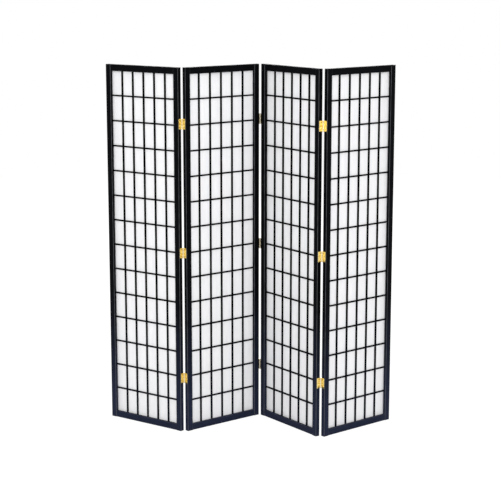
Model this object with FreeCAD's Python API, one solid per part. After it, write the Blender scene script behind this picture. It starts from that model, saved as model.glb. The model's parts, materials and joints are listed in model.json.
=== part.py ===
import FreeCAD, Part
import os

# A four-panel folding screen: black lacquered frames with a fine lattice in front
# of rice paper, joined by three brass butt hinges at each fold.  Millimetres.
#
# Each panel is drawn in its own frame: X runs from the left end to the right end,
# Y from the front of the stiles to their rear, and Z up from the floor.  The
# finished panels are then turned and set hinge to hinge in a zigzag.

# ---- Panel frame ---------------------------------------------------------------
PANEL_HEIGHT = 1784.0
PANEL_WIDTH = 444.5
STILE_WIDTH = 29.0
STILE_DEPTH = 22.0
RAIL_HEIGHT = 32.0
RAIL_FRONT_STEP = 2.0       # front of a rail behind the front of the stiles
RAIL_REAR_STEP = 1.0        # rear of a rail in front of the rear of the stiles
FRONT_ARRIS = 2.0           # rounded long edges of the stiles
REAR_ARRIS = 1.0
RAIL_ARRIS = 0.8

# ---- Stub tenons that hold the rails in the stiles --------------------------------
TENON_THICKNESS = 7.0
TENON_SHOULDER = 5.0        # rail left above and below the tenon
TENON_LENGTH = 13.0
TENON_SETBACK = 3.0         # front of the tenon behind the front of the rail
TENON_FIT = 0.1             # play at each side of the tenon
TENON_END_PLAY = 1.0

# ---- Lattice and paper -------------------------------------------------------------
COLUMNS = 6                 # panes across
ROWS = 14                   # panes down
MUNTIN_WIDTH = 8.0          # upright strips
BAR_HEIGHT = 7.0            # level strips
LATTICE_DEPTH = 6.5
LATTICE_SETBACK = 13.0      # front of the lattice behind the front of the stiles
HALVING_FIT = 0.1           # play at each side of a halved crossing
REBATE_WIDTH = 6.0          # step behind the frame's lip that takes the lattice
REBATE_PLAY = 0.5           # lattice and paper to the wall of the rebate
PAPER_THICKNESS = 0.4

# ---- Hinges ------------------------------------------------------------------------
HINGE_HEIGHT = 50.8
HINGE_END_DISTANCE = 268.0  # end of the panel to the middle of the outer hinges
LEAF_THICKNESS = 1.5
LEAF_REACH = 22.6           # pin's axis to the free edge of a leaf
LEAF_CORNER = 2.0
BARREL_RADIUS = 2.6
BARREL_STANDOFF = 0.9       # barrel clear of the panel's face
KNUCKLES = 5
KNUCKLE_GAP = 0.3
SWEEP_CLEARANCE = 0.4       # a leaf clear of the other leaf's knuckles
PIN_RADIUS = 1.2
PIN_CLEARANCE = 0.05
PIN_CAP_RADIUS = 2.1
PIN_CAP_HEIGHT = 1.2
PIN_CAP_ROUND = 0.6

# ---- Screws ------------------------------------------------------------------------
SCREW_RADIUS = 1.3
SCREW_HEAD_RADIUS = 2.75
SCREW_HEAD_HEIGHT = 1.2
SCREW_LENGTH = 14.0
SCREW_TIP = 3.0
SCREW_FIT = 0.05
SCREW_END_PLAY = 1.0
SCREW_RECESS_WIDTH = 0.6
SCREW_RECESS_LENGTH = 3.2
SCREW_RECESS_DEPTH = 0.7
SCREW_EDGE = 8.4            # end of a leaf to its outer screws
SCREW_LINE = 12.8           # pin's axis to the line of screws
SCREW_STAGGER = 2.5         # screws to either side of that line

# ---- Standing pose -----------------------------------------------------------------
# Turn of each panel from the X axis, from left to right.  The folds point forwards,
# backwards and forwards again, and each barrel is on the hollow side of its fold.
PANEL_TURNS = (-34.0, 39.0, -52.0, 40.5)
BARREL_AT_REAR = (True, False, True)

# ---- Worked out from the sizes above --------------------------------------------------
PANELS = len(PANEL_TURNS)
FOLDS = len(BARREL_AT_REAR)
ROOT_PANEL = 1              # index of the panel that carries the other three
OPENING_WIDTH = PANEL_WIDTH - 2 * STILE_WIDTH
OPENING_HEIGHT = PANEL_HEIGHT - 2 * RAIL_HEIGHT
MUNTINS = COLUMNS - 1
BARS = ROWS - 1
PANE_WIDTH = (OPENING_WIDTH - MUNTINS * MUNTIN_WIDTH) / COLUMNS
PANE_HEIGHT = (OPENING_HEIGHT - BARS * BAR_HEIGHT) / ROWS
LATTICE_REAR = LATTICE_SETBACK + LATTICE_DEPTH
LATTICE_MIDDLE = LATTICE_SETBACK + LATTICE_DEPTH / 2
SEAT = REBATE_WIDTH - REBATE_PLAY    # lattice and paper past the edge of the opening
AXIS_OUT = BARREL_RADIUS             # pin's axis beyond the end of the panel
AXIS_OFF = BARREL_RADIUS + BARREL_STANDOFF    # and beyond its face
HINGE_LEVELS = (
    ("lower", HINGE_END_DISTANCE),
    ("middle", PANEL_HEIGHT / 2),
    ("upper", PANEL_HEIGHT - HINGE_END_DISTANCE),
)
SCREW_SPOTS = (
    (-HINGE_HEIGHT / 2 + SCREW_EDGE, SCREW_LINE - SCREW_STAGGER),
    (0.0, SCREW_LINE + SCREW_STAGGER),
    (HINGE_HEIGHT / 2 - SCREW_EDGE, SCREW_LINE - SCREW_STAGGER),
)

X_AXIS = FreeCAD.Vector(1, 0, 0)
Z_AXIS = FreeCAD.Vector(0, 0, 1)


def block(x_range, y_range, z_range):
    """A box between two limits on each axis, given in either order."""
    low = FreeCAD.Vector(min(x_range), min(y_range), min(z_range))
    high = FreeCAD.Vector(max(x_range), max(y_range), max(z_range))
    size = high - low
    return Part.makeBox(size.x, size.y, size.z, low)


def is_along(edge, axis):
    """True for a straight edge that runs along an axis."""
    if not isinstance(edge.Curve, Part.Line):
        return False
    return abs(edge.tangentAt(edge.FirstParameter).dot(axis)) > 0.999


def round_long_edges(shape, axis, front_radius, rear_radius):
    """Rounds the edges along an axis, those at the front and those at the rear."""
    middle = shape.BoundBox.Center.y
    edges = [edge for edge in shape.Edges if is_along(edge, axis)]
    front = [edge for edge in edges if edge.CenterOfMass.y < middle]
    rear = [edge for edge in edges if edge.CenterOfMass.y > middle]
    shape = shape.makeFillet(front_radius, front)
    rear = [
        edge
        for edge in shape.Edges
        if any(edge.CenterOfMass.isEqual(old.CenterOfMass, 0.001) for old in rear)
    ]
    return shape.makeFillet(rear_radius, rear)


# ---- Frame of one panel --------------------------------------------------------------
def tenon_block(rail_bottom, end_x, inwards, play, end_play):
    """The tenon of a rail, or with play its mortise, from a stile's inner edge."""
    y_front = RAIL_FRONT_STEP + TENON_SETBACK
    return block(
        (end_x, end_x - inwards * (TENON_LENGTH + end_play)),
        (y_front - play, y_front + TENON_THICKNESS + play),
        (
            rail_bottom + TENON_SHOULDER - play,
            rail_bottom + RAIL_HEIGHT - TENON_SHOULDER + play,
        ),
    )


def rail_bottoms():
    """Height of the lower edge of the bottom rail and of the top rail."""
    return (0.0, PANEL_HEIGHT - RAIL_HEIGHT)


def make_stile(is_left, hinge_sides):
    """A full-height stile, rebated for the lattice, with mortises and screw holes."""
    outer_x = 0.0 if is_left else PANEL_WIDTH
    inwards = 1 if is_left else -1
    inner_x = outer_x + inwards * STILE_WIDTH
    stile = block((outer_x, inner_x), (0, STILE_DEPTH), (0, PANEL_HEIGHT))
    stile = round_long_edges(stile, Z_AXIS, FRONT_ARRIS, REAR_ARRIS)
    rebate = block(
        (inner_x - inwards * REBATE_WIDTH, inner_x),
        (LATTICE_SETBACK, STILE_DEPTH),
        (RAIL_HEIGHT - REBATE_WIDTH, PANEL_HEIGHT - RAIL_HEIGHT + REBATE_WIDTH),
    )
    cuts = [rebate]
    for bottom in rail_bottoms():
        cuts.append(tenon_block(bottom, inner_x, inwards, TENON_FIT, TENON_END_PLAY))
    for at_rear in hinge_sides:
        for _, level in HINGE_LEVELS:
            cuts += screw_holes(is_left, at_rear, level)
    return stile.cut(Part.makeCompound(cuts))


def make_rail(is_top):
    """A rail between the stiles, with a tenon at each end and the lattice rebate."""
    bottom = rail_bottoms()[1 if is_top else 0]
    left_x = STILE_WIDTH
    right_x = PANEL_WIDTH - STILE_WIDTH
    rail = block(
        (left_x, right_x),
        (RAIL_FRONT_STEP, STILE_DEPTH - RAIL_REAR_STEP),
        (bottom, bottom + RAIL_HEIGHT),
    )
    rail = round_long_edges(rail, X_AXIS, RAIL_ARRIS, RAIL_ARRIS)
    rail = rail.fuse(tenon_block(bottom, left_x, 1, 0, 0))
    rail = rail.fuse(tenon_block(bottom, right_x, -1, 0, 0))
    inner_z = bottom if is_top else bottom + RAIL_HEIGHT
    outwards = 1 if is_top else -1
    rebate = block(
        (left_x, right_x),
        (LATTICE_SETBACK, STILE_DEPTH),
        (inner_z, inner_z + outwards * REBATE_WIDTH),
    )
    return rail.cut(rebate)


# ---- Lattice and paper of one panel -----------------------------------------------------
def muntin_left(index):
    """X of the left side of an upright strip."""
    return STILE_WIDTH + PANE_WIDTH + index * (PANE_WIDTH + MUNTIN_WIDTH)


def bar_bottom(index):
    """Z of the underside of a level strip."""
    return RAIL_HEIGHT + PANE_HEIGHT + index * (PANE_HEIGHT + BAR_HEIGHT)


def make_muntins():
    """Upright strips, each halved from behind where the level strips cross."""
    notches = []
    for index in range(BARS):
        bottom = bar_bottom(index)
        notches.append(block(
            (0, PANEL_WIDTH),
            (LATTICE_MIDDLE, STILE_DEPTH),
            (bottom - HALVING_FIT, bottom + BAR_HEIGHT + HALVING_FIT),
        ))
    notches = Part.makeCompound(notches)
    muntins = []
    for index in range(MUNTINS):
        left = muntin_left(index)
        strip = block(
            (left, left + MUNTIN_WIDTH),
            (LATTICE_SETBACK, LATTICE_REAR),
            (RAIL_HEIGHT - SEAT, PANEL_HEIGHT - RAIL_HEIGHT + SEAT),
        )
        muntins.append(strip.cut(notches))
    return Part.makeCompound(muntins)


def make_bars():
    """Level strips, each halved from the front where the upright strips cross."""
    notches = []
    for index in range(MUNTINS):
        left = muntin_left(index)
        notches.append(block(
            (left - HALVING_FIT, left + MUNTIN_WIDTH + HALVING_FIT),
            (0, LATTICE_MIDDLE),
            (0, PANEL_HEIGHT),
        ))
    notches = Part.makeCompound(notches)
    bars = []
    for index in range(BARS):
        bottom = bar_bottom(index)
        strip = block(
            (STILE_WIDTH - SEAT, PANEL_WIDTH - STILE_WIDTH + SEAT),
            (LATTICE_SETBACK, LATTICE_REAR),
            (bottom, bottom + BAR_HEIGHT),
        )
        bars.append(strip.cut(notches))
    return Part.makeCompound(bars)


def make_paper():
    """One sheet of paper, glued flat to the rear of the lattice."""
    return block(
        (STILE_WIDTH - SEAT, PANEL_WIDTH - STILE_WIDTH + SEAT),
        (LATTICE_REAR, LATTICE_REAR + PAPER_THICKNESS),
        (RAIL_HEIGHT - SEAT, PANEL_HEIGHT - RAIL_HEIGHT + SEAT),
    )


# ---- Hinges -----------------------------------------------------------------------------
# A hinge is drawn about its pin, with Z along the pin and z = 0 at mid height.  A leaf
# is on the left (side -1) or on the right (side 1) of the pin.  Its plate runs from the
# barrel towards the other face of the panel, so backwards is -1 for a barrel at the
# rear and 1 for a barrel at the front.
def pin_axis(is_left_end, at_rear):
    """Place of a fold's pin in the frame of a panel, from one of its ends."""
    x = -AXIS_OUT if is_left_end else PANEL_WIDTH + AXIS_OUT
    y = STILE_DEPTH + AXIS_OFF if at_rear else -AXIS_OFF
    return FreeCAD.Vector(x, y, 0)


def knuckle_range(index):
    """Lower and upper end of a knuckle, with the gaps to its neighbours taken off."""
    pitch = HINGE_HEIGHT / KNUCKLES
    low = -HINGE_HEIGHT / 2 + index * pitch
    high = low + pitch
    if index > 0:
        low += KNUCKLE_GAP / 2
    if index < KNUCKLES - 1:
        high -= KNUCKLE_GAP / 2
    return low, high


def cylinder(radius, low, high):
    """An upright cylinder about the pin's axis."""
    return Part.makeCylinder(radius, high - low, FreeCAD.Vector(0, 0, low), Z_AXIS)


def make_leaf(side, at_rear, own_knuckles):
    """A leaf with its knuckles, cut back round the knuckles of the other leaf."""
    backwards = -1 if at_rear else 1
    plate = block(
        (side * BARREL_RADIUS, side * (BARREL_RADIUS - LEAF_THICKNESS)),
        (0, backwards * LEAF_REACH),
        (-HINGE_HEIGHT / 2, HINGE_HEIGHT / 2),
    )
    free_edges = [
        edge
        for edge in plate.Edges
        if is_along(edge, X_AXIS) and abs(edge.CenterOfMass.y) > LEAF_REACH / 2
    ]
    leaf = plate.makeFillet(LEAF_CORNER, free_edges)
    for index in range(KNUCKLES):
        low, high = knuckle_range(index)
        if index not in own_knuckles:
            reach = BARREL_RADIUS + SWEEP_CLEARANCE
            leaf = leaf.cut(cylinder(reach, low - KNUCKLE_GAP, high + KNUCKLE_GAP))
    for index in own_knuckles:
        leaf = leaf.fuse(cylinder(BARREL_RADIUS, *knuckle_range(index)))
    bore = cylinder(PIN_RADIUS + PIN_CLEARANCE, -HINGE_HEIGHT, HINGE_HEIGHT)
    cuts = [bore]
    for z, distance in SCREW_SPOTS:
        cuts.append(place_screw(screw_hole(), side, backwards * distance, z))
    return leaf.cut(Part.makeCompound(cuts)).removeSplitter()


def make_pin():
    """The pin, with a rounded cap on each end of the barrel."""
    half = HINGE_HEIGHT / 2
    pin = cylinder(PIN_RADIUS, -half, half)
    for low, high, outer in (
        (half, half + PIN_CAP_HEIGHT, half + PIN_CAP_HEIGHT),
        (-half - PIN_CAP_HEIGHT, -half, -half - PIN_CAP_HEIGHT),
    ):
        cap = cylinder(PIN_CAP_RADIUS, low, high)
        rims = [edge for edge in cap.Edges if abs(edge.CenterOfMass.z - outer) < 0.001]
        rims = [edge for edge in rims if isinstance(edge.Curve, Part.Circle)]
        pin = pin.fuse(cap.makeFillet(PIN_CAP_ROUND, rims))
    return pin


# ---- Screws ------------------------------------------------------------------------------
# A screw is drawn along +X, with the flat of its head at x = 0.
def screw_body(play, length):
    """Countersunk head and shank, or with play the hole that they sit in."""
    origin = FreeCAD.Vector(0, 0, 0)
    radius = SCREW_RADIUS + play
    head = Part.makeCone(SCREW_HEAD_RADIUS + play, radius, SCREW_HEAD_HEIGHT, origin, X_AXIS)
    return head.fuse(Part.makeCylinder(radius, length, origin, X_AXIS))


def screw_hole():
    """The countersunk hole through a leaf and on into the stile."""
    return screw_body(SCREW_FIT, SCREW_LENGTH + SCREW_END_PLAY)


def make_screw():
    """A countersunk wood screw with a pointed end and a cross recess."""
    straight = SCREW_LENGTH - SCREW_TIP
    screw = screw_body(0, straight)
    tip = Part.makeCone(SCREW_RADIUS, 0, SCREW_TIP, X_AXIS * straight, X_AXIS)
    screw = screw.fuse(tip)
    half_width = SCREW_RECESS_WIDTH / 2
    half_length = SCREW_RECESS_LENGTH / 2
    depth = (0, SCREW_RECESS_DEPTH)
    upright = block(depth, (-half_width, half_width), (-half_length, half_length))
    level = block(depth, (-half_length, half_length), (-half_width, half_width))
    return screw.cut(upright.fuse(level))


def place_screw(shape, side, y, z):
    """Sets a screw or its hole in a leaf, pointing away from the pin."""
    shape = shape.copy()
    if side < 0:
        shape.rotate(FreeCAD.Vector(0, 0, 0), Z_AXIS, 180)
    shape.translate(FreeCAD.Vector(side * (BARREL_RADIUS - LEAF_THICKNESS), y, z))
    return shape


def screws_of_hinge(shape, side, at_rear):
    """The screws, or the holes, of one leaf, in the frame of the hinge."""
    backwards = -1 if at_rear else 1
    return [place_screw(shape, side, backwards * distance, z) for z, distance in SCREW_SPOTS]


def at_hinge(shape, is_left_end, at_rear, level):
    """Moves a shape from the frame of a hinge to the end of a panel."""
    moved = shape.copy()
    moved.translate(pin_axis(is_left_end, at_rear) + Z_AXIS * level)
    return moved


def screw_holes(is_left_end, at_rear, level):
    """The holes of one hinge in the stile that it is screwed to."""
    side = 1 if is_left_end else -1
    holes = screws_of_hinge(screw_hole(), side, at_rear)
    return [at_hinge(hole, is_left_end, at_rear, level) for hole in holes]


# ---- Standing the panels hinge to hinge -----------------------------------------------------
def turned(angle, point):
    """A point of a panel's frame after the panel is turned about Z."""
    return FreeCAD.Rotation(Z_AXIS, angle).multVec(point)


def chain_of_origins():
    """Origin of each panel, the first at zero and each next one hung on its pin."""
    origins = [FreeCAD.Vector(0, 0, 0)]
    for fold in range(FOLDS):
        at_rear = BARREL_AT_REAR[fold]
        pin = origins[fold] + turned(PANEL_TURNS[fold], pin_axis(False, at_rear))
        origins.append(pin - turned(PANEL_TURNS[fold + 1], pin_axis(True, at_rear)))
    return origins


def panel_placements():
    """Placement of each panel, with the screen's plan centred on the origin."""
    placements = []
    for origin, angle in zip(chain_of_origins(), PANEL_TURNS):
        placements.append(FreeCAD.Placement(origin, FreeCAD.Rotation(Z_AXIS, angle)))
    stiles = []
    for placement in placements:
        for is_left in (True, False):
            stiles.append(placed(make_stile(is_left, ()), placement))
    plan = Part.makeCompound(stiles).optimalBoundingBox(False)
    shift = FreeCAD.Vector(-plan.Center.x, -plan.Center.y, 0)
    for placement in placements:
        placement.move(shift)
    return placements


def placed(shape, placement):
    """A copy of a panel's shape, moved to where the panel stands."""
    moved = shape.copy()
    moved.Placement = placement.multiply(moved.Placement)
    return moved


def fold_axes(placements):
    """Place of each fold's pin, for the three vertical hinge axes."""
    return [
        placements[fold].multVec(pin_axis(False, BARREL_AT_REAR[fold]))
        for fold in range(FOLDS)
    ]


# ---- The whole screen ---------------------------------------------------------------------
def make_panel(index):
    """Every piece of one panel in its own frame, as a table of name and shape."""
    name = f"panel_{index + 1}_"
    left_fold = index - 1
    right_fold = index
    left_sides = BARREL_AT_REAR[left_fold:left_fold + 1] if index > 0 else ()
    right_sides = BARREL_AT_REAR[right_fold:right_fold + 1]
    pieces = {
        name + "left_stile": make_stile(True, left_sides),
        name + "right_stile": make_stile(False, right_sides),
        name + "top_rail": make_rail(True),
        name + "bottom_rail": make_rail(False),
        name + "upright_muntins": make_muntins(),
        name + "level_bars": make_bars(),
        name + "rice_paper": make_paper(),
    }
    screws = []
    for is_left_end, sides, fold in ((True, left_sides, left_fold), (False, right_sides, right_fold)):
        for at_rear in sides:
            hardware = hinge_half(fold, is_left_end, at_rear, carries_pin(index, fold))
            pieces.update(hardware)
            screws += hinge_screws(is_left_end, at_rear)
    pieces[name + "hinge_screws"] = Part.makeCompound(screws)
    return pieces


def carries_pin(index, fold):
    """True for the panel of a fold that is nearer to the root and keeps the pin."""
    other = fold + 1 if index == fold else fold
    return abs(index - ROOT_PANEL) < abs(other - ROOT_PANEL)


def hinge_half(fold, is_left_end, at_rear, with_pin):
    """The three leaves of one panel at a fold, and the pins if it keeps them."""
    side = 1 if is_left_end else -1
    hand = "right" if is_left_end else "left"
    first = 0 if with_pin else 1
    leaf = make_leaf(side, at_rear, range(first, KNUCKLES, 2))
    pieces = {}
    for level_name, level in HINGE_LEVELS:
        name = f"fold_{fold + 1}_{level_name}_hinge_{hand}_leaf"
        pieces[name] = at_hinge(leaf, is_left_end, at_rear, level)
    if with_pin:
        pins = [at_hinge(make_pin(), is_left_end, at_rear, level) for _, level in HINGE_LEVELS]
        pieces[f"fold_{fold + 1}_hinge_pins"] = Part.makeCompound(pins)
    return pieces


def hinge_screws(is_left_end, at_rear):
    """The screws of one panel at a fold."""
    side = 1 if is_left_end else -1
    screws = []
    for _, level in HINGE_LEVELS:
        for screw in screws_of_hinge(make_screw(), side, at_rear):
            screws.append(at_hinge(screw, is_left_end, at_rear, level))
    return screws


def main():
    os.makedirs("parts", exist_ok=True)
    placements = panel_placements()
    for index, placement in enumerate(placements):
        for name, shape in make_panel(index).items():
            placed(shape, placement).exportStep(f"parts/{name}.step")
    for fold, axis in enumerate(fold_axes(placements)):
        print(f"fold {fold + 1} pin at x {axis.x:.3f}, y {axis.y:.3f}")


if __name__ == "__main__":
    main()
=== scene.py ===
import json
import math
import random

import bmesh
import bpy
from mathutils import Matrix, Vector


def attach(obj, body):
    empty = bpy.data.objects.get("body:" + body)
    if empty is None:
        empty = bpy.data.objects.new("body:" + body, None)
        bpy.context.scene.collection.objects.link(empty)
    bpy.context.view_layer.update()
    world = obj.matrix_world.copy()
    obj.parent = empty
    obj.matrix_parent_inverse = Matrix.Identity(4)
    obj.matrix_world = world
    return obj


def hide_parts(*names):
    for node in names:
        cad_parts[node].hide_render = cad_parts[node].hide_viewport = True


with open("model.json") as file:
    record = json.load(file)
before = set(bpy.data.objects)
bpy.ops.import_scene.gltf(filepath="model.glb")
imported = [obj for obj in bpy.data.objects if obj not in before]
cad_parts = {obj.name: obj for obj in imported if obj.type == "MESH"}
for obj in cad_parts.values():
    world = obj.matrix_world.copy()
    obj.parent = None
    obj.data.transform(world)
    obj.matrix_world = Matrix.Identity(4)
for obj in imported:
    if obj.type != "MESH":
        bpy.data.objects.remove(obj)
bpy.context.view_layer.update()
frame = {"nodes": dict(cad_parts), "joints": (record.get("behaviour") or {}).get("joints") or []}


# ---- Stiles -----------------------------------------------------------------------------
# The two uprights of each panel: softwood planed to 29 x 22 mm, rounded along the front
# arrises, mortised for the rails and rebated for the lattice, then sprayed with satin
# black lacquer that is thinnest on the arrises, whose paler colour is also a painted highlight.
PANEL_WIDTH = 0.4445
STILE_WIDTH = 0.029
STILE_DEPTH = 0.022
LEFT_PIN_X, RIGHT_PIN_X = -0.0026, 0.4471       # a pin's axis beyond the panel's ends
REAR_PIN_Y, FRONT_PIN_Y = 0.0255, -0.0035       # and behind or in front of its stiles
STILE_WEAR_AND_HIGHLIGHT = (0.0004, 0.0019)                   # from an arris: worn and a painted highlight to here, neither from there

GRAIN_STRETCH = 0.035                           # of a pattern that runs along the grain
PORE_SCALE, FIGURE_SCALE, HAZE_SCALE = 850.0, 130.0, 9.0
PORE_SHARE, FIGURE_SHARE = 0.6, 0.4             # of the lacquer's relief
LACQUER_RELIEF = 0.0002
BASE_LACQUER = ((0.0003, 0.0003, 0.0004), (0.0032, 0.0036, 0.0050))   # in the pores, between them
# Paler, bluer lacquer low down: painted light, as if from the floor.
FLOOR_LIT_LACQUER = ((0.0125, 0.0165, 0.0350), (0.0255, 0.0320, 0.0630))
# Pale lacquer on the arrises: wear, and a painted highlight.
WORN_AND_HIGHLIT_LACQUER = (0.155, 0.159, 0.172)
FLOOR_LIGHT_FADE = (0.15, 0.85)                        # heights between which the painted floor light gives out
FLOOR_LIGHT_RAGGEDNESS, FLOOR_LIGHT_SHARE = 0.3, 0.8
LACQUER_ROUGHNESS = (0.40, 0.52)
LACQUER_GLOSS = 0.025

pins = {joint["name"]: Vector(joint["pos_m"][:2]) for joint in frame["joints"]}


def standing(turn, pin, x, y):
    """Where a panel stands: turned about the upright axis, with its pin at (x, y).

    A panel is drawn from its left end, the front of its stiles and the floor.
    """
    turned = Matrix.Rotation(math.radians(turn), 4, "Z")
    foot = Vector((*pins[pin], 0)) - turned @ Vector((x, y, 0))
    return Matrix.Translation(foot) @ turned


panels = {
    "panel_1": standing(-34.0, "fold_1", RIGHT_PIN_X, REAR_PIN_Y),
    "panel_2": standing(39.0, "fold_1", LEFT_PIN_X, REAR_PIN_Y),
    "panel_3": standing(-52.0, "fold_2", LEFT_PIN_X, FRONT_PIN_Y),
    "panel_4": standing(40.5, "fold_3", LEFT_PIN_X, REAR_PIN_Y),
}


def add(tree, kind, inputs=None, **settings):
    """Adds a node to a tree, with its inputs set or linked by name or number."""
    made = tree.nodes.new(kind)
    for name, value in settings.items():
        setattr(made, name, value)
    for socket, value in (inputs or {}).items():
        if isinstance(value, bpy.types.NodeSocket):
            tree.links.new(value, made.inputs[socket])
        else:
            made.inputs[socket].default_value = value
    return made


def calc(tree, operation, first, second=0.0, third=0.0):
    """The result of one Math node."""
    inputs = {0: first, 1: second, 2: third}
    return add(tree, "ShaderNodeMath", inputs, operation=operation).outputs[0]


def spread(tree, value, low, high, to_low, to_high):
    """A value taken from one range to another, smoothly and not beyond it."""
    inputs = {0: value, 1: low, 2: high, 3: to_low, 4: to_high}
    return add(tree, "ShaderNodeMapRange", inputs, interpolation_type="SMOOTHSTEP").outputs[0]


def blended(tree, share, one, other):
    """A colour between two others, each a plain colour or one that varies."""
    one, other = ((*c, 1.0) if isinstance(c, tuple) else c for c in (one, other))
    return add(tree, "ShaderNodeMix", {0: share, 6: one, 7: other}, data_type="RGBA").outputs[2]


def stretched(tree, points, factors):
    """Points scaled along each axis, which draws a pattern out along the small factors."""
    inputs = {0: points, 1: factors}
    return add(tree, "ShaderNodeVectorMath", inputs, operation="MULTIPLY").outputs[0]


def noise(tree, points, scale, detail, **more):
    """The value of a noise pattern, about a half on average."""
    inputs = {"Vector": points, "Scale": scale, "Detail": detail, **more}
    return add(tree, "ShaderNodeTexNoise", inputs).outputs[0]


def new_finish(name):
    """An empty material, with its tree, its surface shader and the object's own points."""
    finish = bpy.data.materials.new(name)
    finish.use_nodes = True
    tree = finish.node_tree
    tree.nodes.clear()
    shader = add(tree, "ShaderNodeBsdfPrincipled")
    add(tree, "ShaderNodeOutputMaterial", {"Surface": shader.outputs[0]})
    return finish, tree, shader, add(tree, "ShaderNodeTexCoord").outputs["Object"]


def laid_on(tree, shader, colour, roughness, **relief):
    """Gives a shader its colour, roughness and relief."""
    bump = add(tree, "ShaderNodeBump", relief)
    tree.links.new(colour, shader.inputs["Base Color"])
    tree.links.new(roughness, shader.inputs["Roughness"])
    tree.links.new(bump.outputs[0], shader.inputs["Normal"])


def in_panel(tree, points, place):
    """The same points in the frame of a panel that stands at that place."""
    back = place.inverted()
    inputs = {0: points, "Location": back.to_translation(), "Rotation": back.to_euler()}
    return add(tree, "ShaderNodeMapping", inputs).outputs[0]


def off_edge(tree, value, middle, half):
    """Distance from the nearer of two edges, half either side of a middle."""
    from_middle = calc(tree, "ABSOLUTE", calc(tree, "SUBTRACT", value, middle))
    return calc(tree, "ABSOLUTE", calc(tree, "SUBTRACT", from_middle, half))


def lacquer(name, place, along, worn_and_highlit=None, shade_factor=1.0, gloss=LACQUER_GLOSS):
    """Satin black lacquer over fine-grained wood, with the grain along one axis of a panel."""
    finish, tree, shader, points = new_finish(name)
    local = in_panel(tree, points, place)
    long_grain = {"x": (GRAIN_STRETCH, 1.0, 1.0), "z": (1.0, 1.0, GRAIN_STRETCH)}[along]
    grain_points = stretched(tree, local, long_grain)
    pores = noise(tree, grain_points, PORE_SCALE, 3.0, Roughness=0.62)
    figure = noise(tree, grain_points, FIGURE_SCALE, 4.0, Distortion=0.7)
    haze = noise(tree, local, HAZE_SCALE, 3.0)
    between_pores = spread(tree, pores, 0.36, 0.6, 0.0, 1.0)
    ridge = spread(tree, figure, 0.3, 0.7, 0.0, 1.0)
    low_relief = calc(tree, "MULTIPLY", ridge, FIGURE_SHARE)
    height = calc(tree, "MULTIPLY_ADD", between_pores, PORE_SHARE, low_relief)

    # Painted light: the lacquer paler and bluer towards the bottom, as if lit from the floor,
    # ragged with haze.
    up = add(tree, "ShaderNodeSeparateXYZ", {0: local}).outputs[2]
    floor_light_line = calc(tree, "MULTIPLY_ADD", haze, FLOOR_LIGHT_RAGGEDNESS, up)
    floor_lit = spread(tree, floor_light_line, *FLOOR_LIGHT_FADE, 1.0, 0.0)
    # A shade factor below 1 darkens the whole lacquer, as painted shade.
    base_colour, floor_lit_colour = (
        blended(tree, height, *(tuple(shade_factor * c for c in colour) for colour in colours))
        for colours in (BASE_LACQUER, FLOOR_LIT_LACQUER)
    )
    colour = blended(tree, calc(tree, "MULTIPLY", floor_lit, FLOOR_LIGHT_SHARE), base_colour, floor_lit_colour)
    # The arrises paler: wear, and a painted highlight.
    if worn_and_highlit:
        ragged = spread(tree, pores, 0.3, 0.62, 0.35, 1.0)
        bare_and_highlit = calc(tree, "MULTIPLY", worn_and_highlit(tree, local), ragged)
        colour = blended(tree, bare_and_highlit, colour, WORN_AND_HIGHLIT_LACQUER)

    roughness = spread(tree, haze, 0.3, 0.7, *LACQUER_ROUGHNESS)
    roughness = calc(tree, "MULTIPLY_ADD", ridge, 0.05, roughness)
    laid_on(tree, shader, colour, roughness, Strength=0.8, Distance=LACQUER_RELIEF, Height=height)
    shader.inputs["Specular IOR Level"].default_value = gloss
    return finish


def stile_arris_wear_and_highlight(tree, local):
    """1 along the long edges of the stiles, where the lacquer is thin and a highlight is painted,
    and 0 elsewhere.
    """
    xyz = add(tree, "ShaderNodeSeparateXYZ", {0: local}).outputs
    from_middle = calc(tree, "ABSOLUTE", calc(tree, "SUBTRACT", xyz[0], PANEL_WIDTH / 2))
    across = off_edge(tree, from_middle, PANEL_WIDTH / 2 - STILE_WIDTH / 2, STILE_WIDTH / 2)
    deep = off_edge(tree, xyz[1], STILE_DEPTH / 2, STILE_DEPTH / 2)
    return spread(tree, calc(tree, "MAXIMUM", across, deep), *STILE_WEAR_AND_HIGHLIGHT, 1.0, 0.0)


for panel, place in panels.items():
    stile_finish = lacquer(panel + "_stile_lacquer", place, "z", stile_arris_wear_and_highlight)
    for side in ("left", "right"):
        frame["nodes"][f"{panel}_{side}_stile"].material_slots[0].material = stile_finish


# ---- Rails ------------------------------------------------------------------------------
# The top and bottom rail of each panel, of the same wood and lacquer as the stiles but
# with the grain along the panel.  They are a little thinner than the stiles, with
# stub tenons glued into them, and their arrises are only eased.
PANEL_HEIGHT = 1.784
RAIL_HEIGHT = 0.032
RAIL_FRONT, RAIL_REAR = 0.002, 0.021
RAIL_WEAR_AND_HIGHLIGHT = (0.0002, 0.0009)                    # from an arris: worn and a painted highlight to here, neither from there
RAIL_WEAR_AND_HIGHLIGHT_SHARE = 0.8


def rail_arris_wear_and_highlight(tree, local):
    """Most along the long edges of the rails, where the lacquer is worn and a highlight is painted,
    and 0 elsewhere.
    """
    xyz = add(tree, "ShaderNodeSeparateXYZ", {0: local}).outputs
    from_middle = calc(tree, "ABSOLUTE", calc(tree, "SUBTRACT", xyz[2], PANEL_HEIGHT / 2))
    up = off_edge(tree, from_middle, PANEL_HEIGHT / 2 - RAIL_HEIGHT / 2, RAIL_HEIGHT / 2)
    deep = off_edge(tree, xyz[1], (RAIL_FRONT + RAIL_REAR) / 2, (RAIL_REAR - RAIL_FRONT) / 2)
    return spread(tree, calc(tree, "MAXIMUM", up, deep), *RAIL_WEAR_AND_HIGHLIGHT, RAIL_WEAR_AND_HIGHLIGHT_SHARE, 0.0)


for panel, place in panels.items():
    rail_finish = lacquer(panel + "_rail_lacquer", place, "x", rail_arris_wear_and_highlight)
    for level in ("top", "bottom"):
        frame["nodes"][f"{panel}_{level}_rail"].material_slots[0].material = rail_finish


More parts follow.
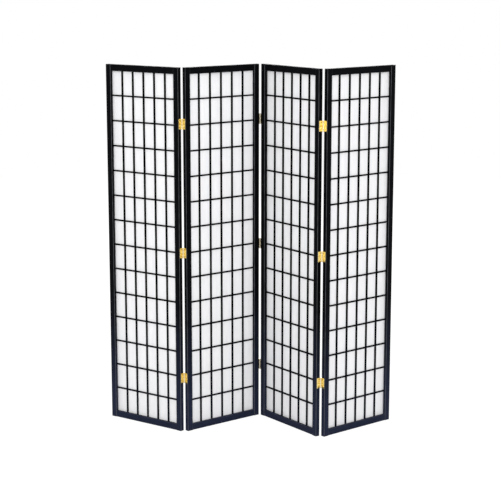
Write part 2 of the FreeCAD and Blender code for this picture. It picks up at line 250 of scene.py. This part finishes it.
# ---- Upright lattice strips ---------------------------------------------------------------
# Five thin square-edged strips per panel, black like the frame, let into its rebate.
# Their rear half is notched out wherever a level strip crosses, so that the two kinds
# lie flush.  Each strip is a planed bar with a row of notches cut across it.
COLUMNS, ROWS = 6, 14                           # panes
LATTICE_FRONT, LATTICE_DEPTH = 0.013, 0.0065
UPRIGHT_WIDTH, LEVEL_HEIGHT = 0.008, 0.007
SEAT = 0.0055                                   # strips and paper past the opening's edge
HALVING_FIT = 0.0001
STRIP_ARRIS, ARRIS_STEPS = 0.0004, 2
SHADED_STRIP_LACQUER = {"shade_factor": 0.2, "gloss": 0.02}   # darker, as painted shade, and less glossy than the frame
OPENING_WIDTH = PANEL_WIDTH - 2 * STILE_WIDTH
OPENING_HEIGHT = PANEL_HEIGHT - 2 * RAIL_HEIGHT
PANE_WIDTH = (OPENING_WIDTH - (COLUMNS - 1) * UPRIGHT_WIDTH) / COLUMNS
PANE_HEIGHT = (OPENING_HEIGHT - (ROWS - 1) * LEVEL_HEIGHT) / ROWS
UPRIGHT_STEP, LEVEL_STEP = PANE_WIDTH + UPRIGHT_WIDTH, PANE_HEIGHT + LEVEL_HEIGHT
FIRST_UPRIGHT_X = STILE_WIDTH + PANE_WIDTH + UPRIGHT_WIDTH / 2
FIRST_LEVEL_Z = RAIL_HEIGHT + PANE_HEIGHT + LEVEL_HEIGHT / 2
lattice_middle = LATTICE_FRONT + LATTICE_DEPTH / 2


def new_tree(name, sizes):
    """A geometry tree with one named input for each size, and its two end nodes."""
    tree = bpy.data.node_groups.new(name, "GeometryNodeTree")
    tree.interface.new_socket("Geometry", in_out="INPUT", socket_type="NodeSocketGeometry")
    tree.interface.new_socket("Geometry", in_out="OUTPUT", socket_type="NodeSocketGeometry")
    for size, kind in sizes.items():
        tree.interface.new_socket(size, in_out="INPUT", socket_type="NodeSocket" + kind)
    return tree, tree.nodes.new("NodeGroupInput").outputs, tree.nodes.new("NodeGroupOutput").inputs


def made_real(tree, geometry, finish, out):
    """Ends a tree: its geometry as plain meshes, with their finish."""
    whole = add(tree, "GeometryNodeRealizeInstances", {0: geometry}).outputs[0]
    inputs = {"Geometry": whole, "Material": finish}
    tree.links.new(add(tree, "GeometryNodeSetMaterial", inputs).outputs[0], out[0])


def row_of_blocks(tree, size, count, first, step):
    """Blocks of one size in a row, as real geometry."""
    places = {"Count": count, "Start Location": first, "Offset": step}
    line = add(tree, "GeometryNodeMeshLine", places).outputs[0]
    block = add(tree, "GeometryNodeMeshCube", {"Size": size}).outputs[0]
    row = add(tree, "GeometryNodeInstanceOnPoints", {"Points": line, "Instance": block})
    return add(tree, "GeometryNodeRealizeInstances", {0: row.outputs[0]}).outputs[0]


notched_strips, size, out = new_tree("notched_strips", {
    "Strip Size": "Vector", "Strips": "Int", "First Strip": "Vector", "Strip Step": "Vector",
    "Notch Size": "Vector", "Notches": "Int", "First Notch": "Vector", "Notch Step": "Vector",
    "Finish": "Material",
})
strips, notches = (
    row_of_blocks(notched_strips, *(size[name] for name in names))
    for names in (
        ("Strip Size", "Strips", "First Strip", "Strip Step"),
        ("Notch Size", "Notches", "First Notch", "Notch Step"),
    )
)
cut = add(
    notched_strips, "GeometryNodeMeshBoolean", {"Mesh 1": strips, "Mesh 2": notches},
    operation="DIFFERENCE", solver="EXACT",
)
made_real(notched_strips, cut.outputs[0], size["Finish"], out)


def grown(name, tree, values, points=(), sides=(), arris=None):
    """A plain mesh of what a geometry tree makes with these values, its arrises eased."""
    seed = bpy.data.meshes.new(name)
    seed.from_pydata(points, [], [])
    if sides:
        seed.attributes.new("side", "FLOAT", "POINT").data.foreach_set("value", sides)
    maker = bpy.data.objects.new(name + "_maker", seed)
    bpy.context.scene.collection.objects.link(maker)
    modifier = maker.modifiers.new("tree", "NODES")
    modifier.node_group = tree
    for item in tree.interface.items_tree:
        if item.name in values:
            modifier[item.identifier] = values[item.name]
    if arris:
        eased = maker.modifiers.new("arris", "BEVEL")
        eased.width, eased.segments, eased.limit_method = arris, ARRIS_STEPS, "ANGLE"
        eased.harden_normals = True
    ready = maker.evaluated_get(bpy.context.evaluated_depsgraph_get())
    mesh = bpy.data.meshes.new_from_object(ready)
    bpy.data.objects.remove(maker)
    mesh.name = name
    return mesh


def set_in_place(name, mesh, place, body, slot, *nodes):
    """An object of that mesh, moved to where its panel stands, in place of CAD nodes."""
    mesh.transform(place)
    piece = bpy.data.objects.new(name, mesh)
    bpy.context.scene.collection.objects.link(piece)
    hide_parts(*nodes)
    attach(piece, body)
    return piece


for panel, place in panels.items():
    mesh = grown(panel + "_upright_strips", notched_strips, {
        "Strip Size": (UPRIGHT_WIDTH, LATTICE_DEPTH, OPENING_HEIGHT + 2 * SEAT),
        "Strips": COLUMNS - 1,
        "First Strip": (FIRST_UPRIGHT_X, lattice_middle, PANEL_HEIGHT / 2),
        "Strip Step": (UPRIGHT_STEP, 0.0, 0.0),
        "Notch Size": (PANEL_WIDTH, LATTICE_DEPTH, LEVEL_HEIGHT + 2 * HALVING_FIT),
        "Notches": ROWS - 1,
        "First Notch": (PANEL_WIDTH / 2, lattice_middle + LATTICE_DEPTH / 2, FIRST_LEVEL_Z),
        "Notch Step": (0.0, 0.0, LEVEL_STEP),
        "Finish": lacquer(panel + "_upright_strip_lacquer", place, "z", **SHADED_STRIP_LACQUER),
    }, arris=STRIP_ARRIS)
    set_in_place(panel + "_upright_strips", mesh, place,
                 panel, "black_lacquered_wood", panel + "_upright_muntins")


# ---- Level lattice strips -----------------------------------------------------------------
# Thirteen finer strips per panel, notched from the front where the uprights cross them
# and glued there, so that the uprights run unbroken down the front of the lattice.
for panel, place in panels.items():
    mesh = grown(panel + "_level_strips", notched_strips, {
        "Strip Size": (OPENING_WIDTH + 2 * SEAT, LATTICE_DEPTH, LEVEL_HEIGHT),
        "Strips": ROWS - 1,
        "First Strip": (PANEL_WIDTH / 2, lattice_middle, FIRST_LEVEL_Z),
        "Strip Step": (0.0, 0.0, LEVEL_STEP),
        "Notch Size": (UPRIGHT_WIDTH + 2 * HALVING_FIT, LATTICE_DEPTH, PANEL_HEIGHT),
        "Notches": COLUMNS - 1,
        "First Notch": (FIRST_UPRIGHT_X, lattice_middle - LATTICE_DEPTH / 2, PANEL_HEIGHT / 2),
        "Notch Step": (UPRIGHT_STEP, 0.0, 0.0),
        "Finish": lacquer(panel + "_level_strip_lacquer", place, "x", **SHADED_STRIP_LACQUER),
    }, arris=STRIP_ARRIS)
    set_in_place(panel + "_level_strips", mesh, place,
                 panel, "black_lacquered_wood", panel + "_level_bars")


# ---- Rice paper ---------------------------------------------------------------------------
# One sheet of white mulberry paper per panel, glued flat to the rear of every strip and
# of the rebate.  Between the glue lines it is a little slack, pane by pane, and long
# fibres show in it as slightly clearer and cloudier threads.
PAPER_THICKNESS = 0.0004
PAPER_SLACK = 0.0005
FIRST_DICE = 31
ACROSS_PARTS, UP_PARTS = 6, 8                   # of the mesh, in one pane
THIN_PAPER, THICK_PAPER = (0.850, 0.848, 0.866), (0.888, 0.886, 0.897)
FIBRE_WHITE = (0.925, 0.925, 0.925)
FIBRES = (                                      # scale, width and stretch
    (34.0, 0.020, (1.0, 1.0, 0.45)),
    (75.0, 0.026, (1.0, 1.0, 0.3)),
    (60.0, 0.016, (0.5, 1.0, 1.0)),
)
PULP_SCALE, PULP_STRETCH, TOOTH_SCALE = 55.0, (1.0, 1.0, 0.12), 900.0
PAPER_RELIEF = 0.00012
PAPER_SEEN_INTO = 0.0006                        # depth to which light spreads in it
paper_front = LATTICE_FRONT + LATTICE_DEPTH


def rice_paper(name, place):
    """Matt, faintly translucent paper with long fibres, a little denser in clouds."""
    finish, tree, shader, points = new_finish(name)
    local = in_panel(tree, points, place)
    fibre = None
    for scale, width, stretch in FIBRES:
        threads = noise(tree, stretched(tree, local, stretch), scale, 1.5, Distortion=1.2)
        off = calc(tree, "ABSOLUTE", calc(tree, "SUBTRACT", threads, 0.5))
        thread = spread(tree, off, 0.0, width, 1.0, 0.0)
        fibre = thread if fibre is None else calc(tree, "MAXIMUM", fibre, thread)
    pulp = noise(tree, stretched(tree, local, PULP_STRETCH), PULP_SCALE, 4.0, Roughness=0.6)
    cloud = spread(tree, pulp, 0.3, 0.7, 0.0, 1.0)
    colour = blended(tree, cloud, THIN_PAPER, THICK_PAPER)
    colour = blended(tree, calc(tree, "MULTIPLY", fibre, 0.4), colour, FIBRE_WHITE)
    tooth = calc(tree, "MULTIPLY", noise(tree, local, TOOTH_SCALE, 3.0), 0.5)
    height = calc(tree, "MULTIPLY_ADD", fibre, 0.7, tooth)
    roughness = spread(tree, fibre, 0.0, 1.0, 0.92, 0.7)
    laid_on(tree, shader, colour, roughness, Strength=0.5, Distance=PAPER_RELIEF, Height=height)
    shader.inputs["Specular IOR Level"].default_value = 0.2
    shader.inputs["Subsurface Weight"].default_value = 0.35
    shader.inputs["Subsurface Radius"].default_value = (1.0, 1.0, 1.0)
    shader.inputs["Subsurface Scale"].default_value = PAPER_SEEN_INTO
    return finish


def glue_lines(first, last, start, pane, strip, panes, parts):
    """Places across a sheet: its ends, both sides of each strip, and between them."""
    places = [(first, 0.0)]
    for index in range(panes):
        low = start + index * (pane + strip)
        for part in range(parts + 1):
            places.append((low + pane * part / parts, math.sin(math.pi * part / parts)))
    return places + [(last, 0.0)]


def pane_at(place, parts, panes):
    """Number of the pane that a place across a sheet lies in."""
    return min(max(place - 1, 0) // (parts + 1), panes - 1)


across = glue_lines(STILE_WIDTH - SEAT, PANEL_WIDTH - STILE_WIDTH + SEAT,
                    STILE_WIDTH, PANE_WIDTH, UPRIGHT_WIDTH, COLUMNS, ACROSS_PARTS)
up = glue_lines(RAIL_HEIGHT - SEAT, PANEL_HEIGHT - RAIL_HEIGHT + SEAT,
                RAIL_HEIGHT, PANE_HEIGHT, LEVEL_HEIGHT, ROWS, UP_PARTS)
for number, (panel, place) in enumerate(panels.items()):
    dice = random.Random(FIRST_DICE + number)
    slack = [[PAPER_SLACK * dice.uniform(0.1, 1.0) for _ in range(ROWS)] for _ in range(COLUMNS)]
    sheet = bmesh.new()
    rows = []
    for k, (z, z_swell) in enumerate(up):
        row = []
        for h, (x, x_swell) in enumerate(across):
            swell = slack[pane_at(h, ACROSS_PARTS, COLUMNS)][pane_at(k, UP_PARTS, ROWS)]
            row.append(sheet.verts.new((x, paper_front + swell * x_swell * z_swell, z)))
        rows.append(row)
    for lower, upper in zip(rows, rows[1:]):
        for h in range(len(across) - 1):
            sheet.faces.new((lower[h], lower[h + 1], upper[h + 1], upper[h])).smooth = True
    mesh = bpy.data.meshes.new(panel + "_paper_sheet")
    sheet.to_mesh(mesh)
    sheet.free()
    mesh.materials.append(rice_paper(panel + "_paper", place))
    paper = set_in_place(panel + "_paper_sheet", mesh, place,
                         panel, "rice_paper", panel + "_rice_paper")
    thick = paper.modifiers.new("thickness", "SOLIDIFY")
    thick.thickness, thick.offset = PAPER_THICKNESS, -1.0


# ---- Hinge leaves -------------------------------------------------------------------------
# Three small butt hinges at each fold, pressed from brass plate: each leaf is screwed
# to the end of a stile and its knuckles are rolled round the pin.  Polished, lacquered,
# and slightly dulled and darkened in the corners and between the knuckles, by grime
# and painted shade.
PLATE_BRASS = ((0.880, 0.640, 0.170), (0.980, 0.880, 0.500), (0.640, 0.420, 0.090))
PLATE_ROUGHNESS = 0.17
# Pale knuckles: a painted highlight.
KNUCKLE_HIGHLIGHT_BRASS = (0.970, 0.910, 0.760)
KNUCKLE_HIGHLIGHT_REACH = (0.0027, 0.0032)                 # from a pin's axis: painted highlight to here, none from there
# Dark brown in the corners: grime and painted shade.
GRIME_AND_SHADE = (0.150, 0.085, 0.016)
GRIME_AND_SHADE_REACH = 0.0016                            # painted shade and grime, out of a corner
DRAWN_STRETCH = 0.05                            # of a pattern that runs along the drawing
SCRATCH_SCALE, DULLING_SCALE, CLOUDING_SCALE = 4200.0, 420.0, 190.0
SCRATCH_DEPTH = 0.00002
BRASS_ARRIS = 0.0003


def brass(name, along, colours=PLATE_BRASS, polish=PLATE_ROUGHNESS, knuckle_highlight=None):
    """Polished brass with fine drawing lines along one axis, and grime and painted shade in its
    corners.

    Its colours are the bright, the pale and the tarnished one.
    """
    bright, pale, tarnished = colours
    finish, tree, shader, points = new_finish(name)
    lines = {"x": (DRAWN_STRETCH, 1.0, 1.0), "z": (1.0, 1.0, DRAWN_STRETCH)}[along]
    scratches = noise(tree, stretched(tree, points, lines), SCRATCH_SCALE, 3.0, Roughness=0.65)
    dulling = noise(tree, points, DULLING_SCALE, 5.0, Roughness=0.6)
    dull = spread(tree, dulling, 0.45, 0.72, 0.0, 1.0)
    clouding = noise(tree, points, CLOUDING_SCALE, 2.0)
    cloud = spread(tree, clouding, 0.42, 0.58, 0.0, 1.0)
    # Painted shade and grime: darker where an occlusion test finds the surface hemmed in.
    corner = add(
        tree, "ShaderNodeAmbientOcclusion", {"Distance": GRIME_AND_SHADE_REACH}, samples=8, only_local=False
    ).outputs["AO"]
    grime_and_shade = spread(tree, corner, 0.3, 0.97, 1.0, 0.0)

    colour = blended(tree, cloud, bright, pale)
    colour = blended(tree, calc(tree, "MULTIPLY", dull, 0.6), colour, tarnished)
    # Painted highlight: the knuckles paler.
    if knuckle_highlight:
        highlight_share = calc(tree, "MULTIPLY", knuckle_highlight(tree, points), 0.8)
        colour = blended(tree, highlight_share, colour, KNUCKLE_HIGHLIGHT_BRASS)
    colour = blended(tree, grime_and_shade, colour, GRIME_AND_SHADE)

    line = spread(tree, scratches, 0.35, 0.65, 0.0, 1.0)
    roughness = spread(tree, dull, 0.0, 1.0, polish, polish + 0.14)
    roughness = calc(tree, "MULTIPLY_ADD", line, 0.06, roughness)
    roughness = calc(tree, "MULTIPLY_ADD", grime_and_shade, 0.3, roughness)
    eased = add(tree, "ShaderNodeBevel", {"Radius": BRASS_ARRIS}, samples=4).outputs[0]
    laid_on(tree, shader, colour, roughness,
            Strength=0.2, Distance=SCRATCH_DEPTH, Height=line, Normal=eased)
    shader.inputs["Metallic"].default_value = 1.0
    return finish


def knuckle_highlight_mask(tree, points):
    """1 on the knuckles, which are painted pale as a highlight, and 0 on the plates."""
    level = stretched(tree, points, (1.0, 1.0, 0.0))
    nearest = 1.0
    for pin in pins.values():
        inputs = {0: level, 1: (*pin, 0.0)}
        away = add(tree, "ShaderNodeVectorMath", inputs, operation="DISTANCE").outputs["Value"]
        nearest = calc(tree, "MINIMUM", away, nearest)
    return spread(tree, nearest, *KNUCKLE_HIGHLIGHT_REACH, 1.0, 0.0)


leaf_brass = brass("leaf_brass", "z", knuckle_highlight=knuckle_highlight_mask)
for name, leaf in frame["nodes"].items():
    if name.endswith("_leaf"):
        leaf.material_slots[0].material = leaf_brass


# ---- Hinge pins ---------------------------------------------------------------------------
# A drawn brass rod through each barrel, with a small rounded cap above and below that
# keeps it in.
pin_brass = brass("pin_brass", "z")
for name, rods in frame["nodes"].items():
    if name.endswith("_pins"):
        rods.material_slots[0].material = pin_brass


# ---- Hinge screws -------------------------------------------------------------------------
# Countersunk cross-head wood screws, three to a leaf, the middle one set further from
# the pin.  Each was driven home at its own angle, so the crosses stand every way.
SCREW_HEAD_RADIUS, SCREW_HEAD_HEIGHT = 0.00275, 0.0012
SCREW_RADIUS, SCREW_LENGTH, SCREW_TIP = 0.0013, 0.014, 0.003
SCREW_SIDES = 32
CROSS_WIDTH, CROSS_LENGTH, CROSS_DEPTH = 0.0006, 0.0032, 0.0007
HINGE_LEVELS = (0.268, 0.892, 1.516)
SCREW_SPOTS = ((-0.017, 0.0103), (0.0, 0.0153), (0.017, 0.0103))    # up, and out from the pin
LEAF_FACE = 0.0011                                                  # inside of a leaf, from the pin
SCREW_BRASS = ((0.380, 0.250, 0.080), (0.460, 0.330, 0.120), (0.200, 0.120, 0.035))
SCREW_ROUGHNESS = 0.36
QUARTER_TURN = math.pi / 2
ROLL_SEED = 7

wood_screws, size, out = new_tree("wood_screws", {
    "Head Radius": "Float", "Head Height": "Float", "Shank Radius": "Float",
    "Shank Length": "Float", "Tip Length": "Float", "Cross Width": "Float",
    "Cross Length": "Float", "Cross Depth": "Float", "Finish": "Material",
})


def turned_part(wide, narrow, length):
    """A round part of the screw, from its wide end on."""
    return add(wood_screws, "GeometryNodeMeshCone", {
        "Vertices": SCREW_SIDES, "Radius Bottom": wide, "Radius Top": narrow, "Depth": length,
    }).outputs[0]


def vector(x=0.0, y=0.0, z=0.0):
    """A vector in the screws' tree."""
    return add(wood_screws, "ShaderNodeCombineXYZ", {0: x, 1: y, 2: z}).outputs[0]


head = turned_part(size["Head Radius"], size["Shank Radius"], size["Head Height"])
shank = turned_part(size["Shank Radius"], size["Shank Radius"], size["Shank Length"])
tip = turned_part(size["Shank Radius"], 0.0, size["Tip Length"])
tip_place = {0: tip, "Translation": vector(z=size["Shank Length"])}
tip = add(wood_screws, "GeometryNodeTransform", tip_place).outputs[0]
whole_screw = add(
    wood_screws, "GeometryNodeMeshBoolean", {1: head}, operation="UNION", solver="EXACT"
)
for part in (shank, tip):
    wood_screws.links.new(part, whole_screw.inputs[1])
crossed = add(
    wood_screws, "GeometryNodeMeshBoolean", {"Mesh 1": whole_screw.outputs[0]},
    operation="DIFFERENCE", solver="EXACT",
)
through_face = calc(wood_screws, "MULTIPLY", size["Cross Depth"], 2.0)
for x, y in (("Cross Width", "Cross Length"), ("Cross Length", "Cross Width")):
    arm = add(wood_screws, "GeometryNodeMeshCube", {"Size": vector(size[x], size[y], through_face)})
    wood_screws.links.new(arm.outputs[0], crossed.inputs["Mesh 2"])
side = add(wood_screws, "GeometryNodeInputNamedAttribute", {"Name": "side"}).outputs[0]
facing = vector(y=calc(wood_screws, "MULTIPLY", side, QUARTER_TURN))
driven = add(wood_screws, "GeometryNodeInstanceOnPoints", {
    "Points": size["Geometry"], "Instance": crossed.outputs[0], "Rotation": facing})
roll = {2: 0.0, 3: QUARTER_TURN, "Seed": ROLL_SEED}
roll = vector(z=add(wood_screws, "FunctionNodeRandomValue", roll).outputs[1])
rolled = add(wood_screws, "GeometryNodeRotateInstances", {
    "Instances": driven.outputs[0], "Rotation": roll, "Local Space": True})
made_real(wood_screws, rolled.outputs[0], size["Finish"], out)

screw_brass = brass("screw_brass", "x", SCREW_BRASS, SCREW_ROUGHNESS)
screwed_ends = {                                # which way its screws point, pin's x, pin's y
    "panel_1": ((-1, RIGHT_PIN_X, REAR_PIN_Y),),
    "panel_2": ((1, LEFT_PIN_X, REAR_PIN_Y), (-1, RIGHT_PIN_X, FRONT_PIN_Y)),
    "panel_3": ((1, LEFT_PIN_X, FRONT_PIN_Y), (-1, RIGHT_PIN_X, REAR_PIN_Y)),
    "panel_4": ((1, LEFT_PIN_X, REAR_PIN_Y),),
}
for panel, ends in screwed_ends.items():
    spots, sides = [], []
    for side, x, y in ends:
        inwards = -1 if y > 0 else 1
        for level in HINGE_LEVELS:
            for up, out_of_pin in SCREW_SPOTS:
                spots.append((x + side * LEAF_FACE, y + inwards * out_of_pin, level + up))
                sides.append(float(side))
    mesh = grown(panel + "_screws", wood_screws, {
        "Head Radius": SCREW_HEAD_RADIUS, "Head Height": SCREW_HEAD_HEIGHT,
        "Shank Radius": SCREW_RADIUS, "Shank Length": SCREW_LENGTH - SCREW_TIP,
        "Tip Length": SCREW_TIP, "Cross Width": CROSS_WIDTH, "Cross Length": CROSS_LENGTH,
        "Cross Depth": CROSS_DEPTH, "Finish": screw_brass,
    }, spots, sides)
    set_in_place(panel + "_screws", mesh, panels[panel],
                 panel, "brass", panel + "_hinge_screws")


# ---- Floor --------------------------------------------------------------------------------
# A plain pale studio floor.  It shows white, like the world round it, and still takes
# the screen's soft shadow.
FLOOR_RADIUS, FLOOR_DROP = 9.0, 0.0005
FLOOR_PAINT = (0.80, 0.80, 0.81, 1.0)
SHADOW_CATCH = (0.22, 0.22, 0.22, 1.0)
FLOOR_GLOW = 0.89
WHITE = (1.0, 1.0, 1.0, 1.0)


def shown_white(tree):
    """1 for what the camera, a gloss or a glass sees, and 0 for what lights the screen."""
    rays = add(tree, "ShaderNodeLightPath").outputs
    seen = calc(tree, "MAXIMUM", rays["Is Camera Ray"], rays["Is Glossy Ray"])
    return calc(tree, "MAXIMUM", seen, rays["Is Transmission Ray"])


bpy.ops.mesh.primitive_circle_add(
    vertices=96, radius=FLOOR_RADIUS, fill_type="NGON", location=(0, 0, -FLOOR_DROP))
floor = bpy.context.object
floor.name = "studio_floor"
floor_paint = bpy.data.materials.new("floor_paint")
floor_paint.use_nodes = True
tree = floor_paint.node_tree
tree.nodes.clear()
pale = add(tree, "ShaderNodeBsdfDiffuse", {"Color": FLOOR_PAINT})
thin = add(tree, "ShaderNodeBsdfDiffuse", {"Color": SHADOW_CATCH})
glow = add(tree, "ShaderNodeEmission", {"Color": WHITE, "Strength": FLOOR_GLOW})
white = add(tree, "ShaderNodeAddShader", {0: thin.outputs[0], 1: glow.outputs[0]})
surface = add(tree, "ShaderNodeMixShader", {
    0: shown_white(tree), 1: pale.outputs[0], 2: white.outputs[0]})
add(tree, "ShaderNodeOutputMaterial", {"Surface": surface.outputs[0]})
floor.data.materials.append(floor_paint)


# ---- Light --------------------------------------------------------------------------------
# A white room, with one large soft lamp above the camera and a weaker one behind the
# screen.  Both are aimed at its middle.
ROOM_LIGHT, ROOM_SEEN = 0.66, 1.0
LAMP_WIDTH = 3.2
LAMP_AIM = (0.0, 0.0, 0.9)
LAMPS = {                                       # place and power
    "front_lamp": ((0.1, -7.4, 3.1), 315.0),
    "rear_lamp": ((0.4, 6.6, 3.1), 140.0),
}

world = bpy.data.worlds.new("white_room")
bpy.context.scene.world = world
world.use_nodes = True
tree = world.node_tree
tree.nodes.clear()
soft = add(tree, "ShaderNodeBackground", {"Color": WHITE, "Strength": ROOM_LIGHT})
white = add(tree, "ShaderNodeBackground", {"Color": WHITE, "Strength": ROOM_SEEN})
surface = add(tree, "ShaderNodeMixShader", {
    0: shown_white(tree), 1: soft.outputs[0], 2: white.outputs[0]})
add(tree, "ShaderNodeOutputWorld", {"Surface": surface.outputs[0]})

for name, (spot, power) in LAMPS.items():
    lamp = bpy.data.lights.new(name, "AREA")
    lamp.shape, lamp.size, lamp.energy = "SQUARE", LAMP_WIDTH, power
    lamp_object = bpy.data.objects.new(name, lamp)
    bpy.context.scene.collection.objects.link(lamp_object)
    lamp_object.location = spot
    towards = Vector(LAMP_AIM) - Vector(spot)
    lamp_object.rotation_euler = towards.to_track_quat("-Z", "Y").to_euler()


# ---- Camera -------------------------------------------------------------------------------
# A long lens from well back and a little to the right, above the top of the screen and
# looking down at it.
CAMERA_SPOT = (0.131, -6.987, 2.256)
LOOK_DOWN, LOOK_LEFT = 11.06, 1.06              # degrees
SENSOR_WIDTH, FOCAL_LENGTH = 36.0, 104.9        # mm
NEAREST_SEEN, FURTHEST_SEEN = 0.1, 100.0

camera = bpy.data.cameras.new("camera")
camera.sensor_width, camera.lens = SENSOR_WIDTH, FOCAL_LENGTH
camera.clip_start, camera.clip_end = NEAREST_SEEN, FURTHEST_SEEN
camera_object = bpy.data.objects.new("camera", camera)
bpy.context.scene.collection.objects.link(camera_object)
camera_object.location = CAMERA_SPOT
camera_object.rotation_euler = (math.radians(90 - LOOK_DOWN), 0.0, math.radians(LOOK_LEFT))
bpy.context.scene.camera = camera_object
bpy.context.scene.view_settings.view_transform = "Standard"

bpy.context.view_layer.update()
